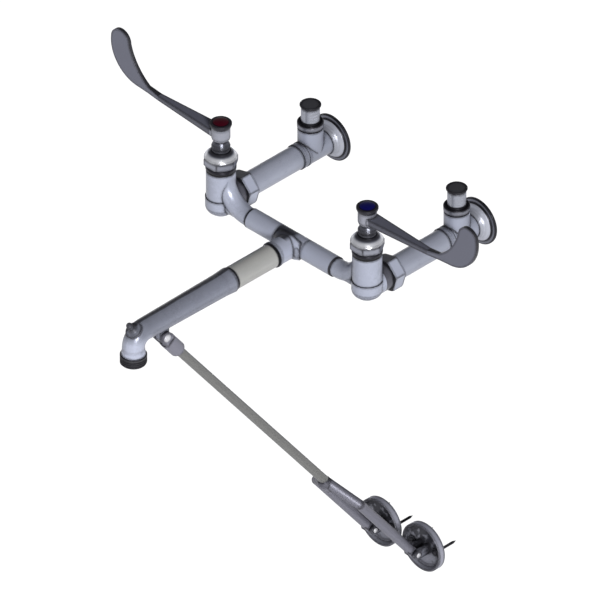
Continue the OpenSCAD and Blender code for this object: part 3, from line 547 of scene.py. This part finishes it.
def cover_areas(finish, place):
    """Darkens the cover plate's rim and blackens a ring along either edge of it."""
    out = radius(finish, place, HALF_CENTRES, "Z", 0)
    yield 1 - out.below(COVER_RINGS[0][0]), RIM_GREY
    for ring, half in COVER_RINGS:
        yield out.band(ring, half), RING_BLACK


dress(metal("spun cover", SPUN_GREY, 0.33, 0.45, grain=0.0005, grain_h=0.00001, rub=0.3,
            areas=cover_areas),
      *pair("escutcheon"))


# ---- Spout
# A tapered casting with a pail hook, screwed on to a warm grey nickel nipple that is
# black at both ends. The casting's seam runs along its middle plane. Its upper hot-side
# shoulder carries painted shade and its drop past the bend a painted light.
NICKEL_GREY = (0.44, 0.44, 0.425)
SLEEVE_ENDS = (-0.1873, -0.2441)
END_HALF = 0.002
END_BLACK = (0.015, 0.015, 0.018)
SPOUT_GREY = shade(PLATE_GREY, 0.58)
# Painted light on the spout's drop past the bend.
DROP_PAINTED_LIGHT = shade(PLATE_GREY, 1.25)
BEND_Y, BEND_Z = -0.360, 0.001
SHOULDER_TILT = 0.88
SHOULDER_COVER = 0.9
SHOULDER_FIRM = 9
ALONG_FIRM, DOWN_FIRM = 200, 120


def sleeve_areas(finish, place):
    """Blackens both ends of the sleeve."""
    along = finish.lane(place, "Y")
    for end in SLEEVE_ENDS:
        yield along.band(end, END_HALF), END_BLACK


def spout_areas(finish, place):
    """Paints shade on the upper hot-side shoulder, and light on the drop past the bend."""
    tilt = facing(finish, "Z") - facing(finish, "X")
    patches = mottle(finish, place, scale=40, detail=3, swing=1.5)
    yield ((tilt - SHOULDER_TILT) * SHOULDER_FIRM + patches).held(SHOULDER_COVER), PAINTED_SHADE_BLACK
    along = ((BEND_Y - finish.lane(place, "Y")) * ALONG_FIRM).held()
    down = ((BEND_Z - finish.lane(place, "Z")) * DOWN_FIRM).held()
    yield along * down, DROP_PAINTED_LIGHT


dress(metal("nickel sleeve", NICKEL_GREY, 0.36, 0.12, grain=0.0004, grain_h=0.00002,
            stretch=(1, 0.04, 1), areas=sleeve_areas), "spout_sleeve")
dress(cast("plated spout casting", SPOUT_GREY, 0.27, 0.15, seam=("X", 0.0), areas=spout_areas),
      "spout")


# ---- Hose-thread end
# A blackened brass end screws up into the spout's mouth. It is turned with a coarse
# thread that takes a garden hose, and chamfered where the hose starts.
NOZZLE_CREST = 0.0135
NOZZLE_DEPTH = 0.0011
NOZZLE_PITCH = 0.0022
NOZZLE_BORE = 0.0086
NOZZLE_SPIGOT = 0.0102
NOZZLE_END = -0.0328
NOZZLE_TOP = -0.0224
NOZZLE_RINGS = 60
NOZZLE_TURNS = 144
NOZZLE_BLACK = (0.085, 0.085, 0.09)
SPIGOT_TOP = -0.0154
OUTLET_Y = -0.3775
CHAMFER = 0.0011
PLAIN = 0.0014
RUN_OUT = 0.0006
BREAK = 0.0003
THREAD_DROP = 0.0004
FLANK = 4
ROOT_SHARE = 0.55
CREASE = math.radians(32)
TINY = 0.000001


def ridge(phase):
    """Height of a screw thread, 0 at its root and 1 at its crest, along one pitch."""
    return min(1, max(0, abs(phase % 1 - 0.5) * FLANK - ROOT_SHARE))


def spin(shape, outline, stand, closed, turns):
    """Adds a turned solid. outline(angle) gives its radius and height at each point, and
    stand places it in the frame; a closed outline is a ring with a hole through it."""
    columns = []
    for step in range(turns):
        angle = 2 * math.pi * step / turns
        columns.append([shape.verts.new(stand @ Vector((r * math.cos(angle), r * math.sin(angle), h)))
                        for r, h in outline(angle)])
    for column, following in zip(columns, columns[1:] + columns[:1]):
        rows = list(zip(column, following))
        for (a, b), (d, c) in zip(rows, rows[1:] + (rows[:1] if closed else [])):
            shape.faces.new((a, b, c, d))


def piece(name, shape, material, body, slot, *replaced):
    """Turns the mesh in the making into a piece that rides on a body."""
    bmesh.ops.remove_doubles(shape, verts=shape.verts, dist=TINY)
    bmesh.ops.recalc_face_normals(shape, faces=shape.faces)
    mesh = bpy.data.meshes.new(name)
    shape.to_mesh(mesh)
    shape.free()
    mesh.materials.append(material)
    made = bpy.data.objects.new(name, mesh)
    bpy.context.scene.collection.objects.link(made)
    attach(made, body)
    if replaced:
        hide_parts(*replaced)
    return made


def soften(made):
    """Smooth shading that leaves the sharp edges crisp."""
    made.data.shade_smooth()
    made.data.set_sharp_from_angle(angle=CREASE)


def nozzle_outline(angle):
    points = [(NOZZLE_BORE, SPIGOT_TOP), (NOZZLE_SPIGOT, SPIGOT_TOP), (NOZZLE_SPIGOT, NOZZLE_TOP),
              (NOZZLE_CREST - BREAK, NOZZLE_TOP), (NOZZLE_CREST, NOZZLE_TOP - BREAK)]
    start = NOZZLE_TOP - THREAD_DROP
    for ring in range(NOZZLE_RINGS + 1):
        height = start + (NOZZLE_END - start) * ring / NOZZLE_RINGS
        cut = min(1, max(0, (NOZZLE_TOP - height - PLAIN) / RUN_OUT))
        depth = NOZZLE_DEPTH * cut * (1 - ridge(height / NOZZLE_PITCH - angle / (2 * math.pi)))
        lead = max(0, CHAMFER - (height - NOZZLE_END))
        points.append((NOZZLE_CREST - max(depth, lead), height))
    return points + [(NOZZLE_BORE + RUN_OUT, NOZZLE_END), (NOZZLE_BORE, NOZZLE_END + RUN_OUT)]


dark_brass = metal("blackened nozzle", NOZZLE_BLACK, 0.4, 0.3, grain=0.0005, grain_h=0.00003)
shape = bmesh.new()
spin(shape, nozzle_outline, Matrix.Translation((0, OUTLET_Y, 0)), True, NOZZLE_TURNS)
soften(piece("hose_thread_end", shape, dark_brass, "faucet", "dark_cap", "hose_nozzle"))


# ---- Brace
# A steel rod with a forked coupling at the spout and a cast yoke at the wall; the
# yoke's eyes turn on pins in two dished iron flanges. The pins are coloured near white
# as a painted highlight.
ROD_GREY = (0.245, 0.245, 0.235)
YOKE_GREY = (0.24, 0.24, 0.29)
# Near-white pin colour, a painted highlight.
PIN_GLINT_WHITE = (0.8, 0.8, 0.84)
BRACE_DROP = 0.430
FLANGE_X = 0.0302
FLANGE_GREY = (0.24, 0.245, 0.29)
# Painted light on the flange's outer rim.
FLANGE_RIM_LIT = (0.34, 0.345, 0.41)
DISH_R = 0.0257
DISH_COVER = 0.92
DISH_FIRM = 90


def dish_areas(finish, place):
    """Paints light on the flange's outer rim, and shade in patches inside it, most towards the top."""
    inside = radius(finish, place, FLANGE_X, "Z", -BRACE_DROP).below(DISH_R)
    yield 1 - inside, FLANGE_RIM_LIT
    up = finish.lane(place, "Z") + BRACE_DROP
    patches = mottle(finish, place, scale=210, detail=4, swing=9)
    yield (patches + up * DISH_FIRM).held(DISH_COVER) * inside, JOINT_AND_SHADE_BLACK


dress(metal("rod steel", ROD_GREY, 0.4, 0.2, grain=0.0005, grain_h=0.00002), "brace_rod")
dress(metal("brace casting", YOKE_GREY, 0.46, 0.35, grain=0.0009, grain_h=0.00003),
      "brace_coupling", "brace_yoke")
dress(metal("brace flange casting", FLANGE_GREY, 0.4, 0.35, grain=0.0009, grain_h=0.00006,
            reach=0.013, soil=1.5, areas=dish_areas), "flange_hot_side", "flange_cold_side")
dress(metal("glint-white pin", PIN_GLINT_WHITE, 0.3, 0.15, grain=0.0005, grain_h=0.00001, soil=0.2, rub=0.2),
      "brace_pin", "flange_pin_hot_side", "flange_pin_cold_side")


# ---- Wall screws
# Two slotted pan-head screws hold each flange. They are rolled steel, blackened, and
# stand out behind the wall face with a thread and a gimlet point.
SCREW_BLACK = (0.06, 0.06, 0.07)
SCREW_GAP = 0.03175
SCREW_CREST = 0.0015
SCREW_ROOT = 0.0011
SCREW_PITCH = 0.0013
SCREW_START = 0.0005
SCREW_RUN_IN = 0.003
SCREW_END = 0.0265
SCREW_RINGS = 130
SCREW_TURNS = 40
POINT = 0.0045
SEAT = -0.0038
HEAD_R = 0.003
HEAD_H = 0.002
HEAD_DOME = ((0, 1), (0.45, 0.95), (0.78, 0.78), (0.95, 0.5), (1, 0.25), (1, 0))
SLOT_W = 0.0007
SLOT_DEPTH = 0.001
SLOT_TURN = math.radians(35)
INTO_WALL = Matrix.Rotation(math.radians(-90), 4, "X")


def screw_outline(angle):
    points = [(HEAD_R * r, SEAT - HEAD_H * h) for r, h in HEAD_DOME] + [(SCREW_ROOT, SEAT)]
    for ring in range(SCREW_RINGS + 1):
        far = SCREW_START + (SCREW_END - SCREW_START) * ring / SCREW_RINGS
        share = ridge(far / SCREW_PITCH - angle / (2 * math.pi)) * min(1, far / SCREW_RUN_IN)
        taper = min(1, (SCREW_END - far) / POINT)
        points.append((taper * (SCREW_ROOT + (SCREW_CREST - SCREW_ROOT) * share), far))
    return points


def cut_out(made, cutter_shape):
    """Cuts the second mesh in the making out of a finished piece."""
    cutter_mesh = bpy.data.meshes.new("slots")
    cutter_shape.to_mesh(cutter_mesh)
    cutter_shape.free()
    cutter = bpy.data.objects.new("slots", cutter_mesh)
    bpy.context.scene.collection.objects.link(cutter)
    cut = made.modifiers.new("slots", "BOOLEAN")
    cut.operation, cut.object, cut.solver = "DIFFERENCE", cutter, "EXACT"
    ready = made.evaluated_get(bpy.context.evaluated_depsgraph_get())
    mesh = bpy.data.meshes.new_from_object(ready)
    made.modifiers.clear()
    made.data = mesh
    bpy.data.objects.remove(cutter)


blackened = metal("blackened screw", SCREW_BLACK, 0.4, 0.6, grain=0.0004, grain_h=0.00001)
blade = Matrix.Diagonal((HEAD_R * 3, SLOT_W, SLOT_DEPTH * 2, 1))
for side, way in (("hot", -1), ("cold", 1)):
    shape, slots = bmesh.new(), bmesh.new()
    for hole in (-0.5, 0.5):
        stand = Matrix.Translation((way * FLANGE_X + hole * SCREW_GAP, 0, -BRACE_DROP)) @ INTO_WALL
        spin(shape, screw_outline, stand, False, SCREW_TURNS)
        head = stand @ Matrix.Translation((0, 0, SEAT - HEAD_H))
        turn = Matrix.Rotation(SLOT_TURN * hole * way, 4, "Z")
        bmesh.ops.create_cube(slots, size=1, matrix=head @ turn @ blade)
    screws = piece("slotted_screws_%s_side" % side, shape, blackened,
                   "wall_flange_%s_side" % side, "zinc_steel", "wall_screws_%s_side" % side)
    cut_out(screws, slots)
    soften(screws)


# ---- Inlet threads
# Each stop is tapped at the wall for a half-inch pipe. The bare brass thread shows
# in the mouth behind the cover plate.
BRASS_YELLOW = (0.55, 0.38, 0.13)
INLET_ROOT = 0.0093
INLET_CREST = 0.0084
INLET_PITCH = 0.0018
INLET_LENGTH = 0.0138
INLET_RUN_IN = 0.0015
INLET_RINGS = 70
INLET_TURNS = 96
BITE = 0.0001


def inlet_outline(angle):
    """A sleeve of thread whose back is sunk by BITE into the wall of the bore."""
    points = [(INLET_ROOT + BITE, -INLET_LENGTH), (INLET_ROOT + BITE, -BITE)]
    root = INLET_ROOT - BITE / 2
    for ring in range(INLET_RINGS + 1):
        depth = BITE + (INLET_LENGTH - BITE) * ring / INLET_RINGS
        share = ridge(depth / INLET_PITCH - angle / (2 * math.pi)) * min(1, depth / INLET_RUN_IN)
        points.append((root + (INLET_CREST - root) * share, -depth))
    return points


brass = metal("bare brass", BRASS_YELLOW, 0.35, 0.9, grain=0.0004, grain_h=0.00002,
              stretch=(0.03, 0.03, 1))
for side, way in (("hot", -1), ("cold", 1)):
    shape = bmesh.new()
    stand = Matrix.Translation((way * HALF_CENTRES, 0, 0)) @ INTO_WALL
    spin(shape, inlet_outline, stand, True, INLET_TURNS)
    soften(piece("inlet_thread_" + side, shape, brass, "faucet", "inner_brass"))


# ---- Inside
# Bare brass spindles and cartridges, ceramic discs, zinc-plated screws and black
# seals, all out of sight until the faucet is taken apart.
ZINC_GREY = (0.62, 0.63, 0.66)
CERAMIC_CREAM = (0.85, 0.83, 0.78)
SEAL_BLACK = (0.012, 0.012, 0.013)
dress(brass, *pair("spindle", "cartridge", "stop_plug"))
dress(metal("zinc plating", ZINC_GREY, 0.26, 0.4, grain=0.0005, grain_h=0.00001), *pair("handle_screw"))
dress(moulded("ceramic", CERAMIC_CREAM, 0.25), *pair("fixed_disc", "turning_disc"))
dress(moulded("seal rubber", SEAL_BLACK, 0.55),
      *pair("bonnet_washer", "seat_seal", "stem_packing", "union_washer"))
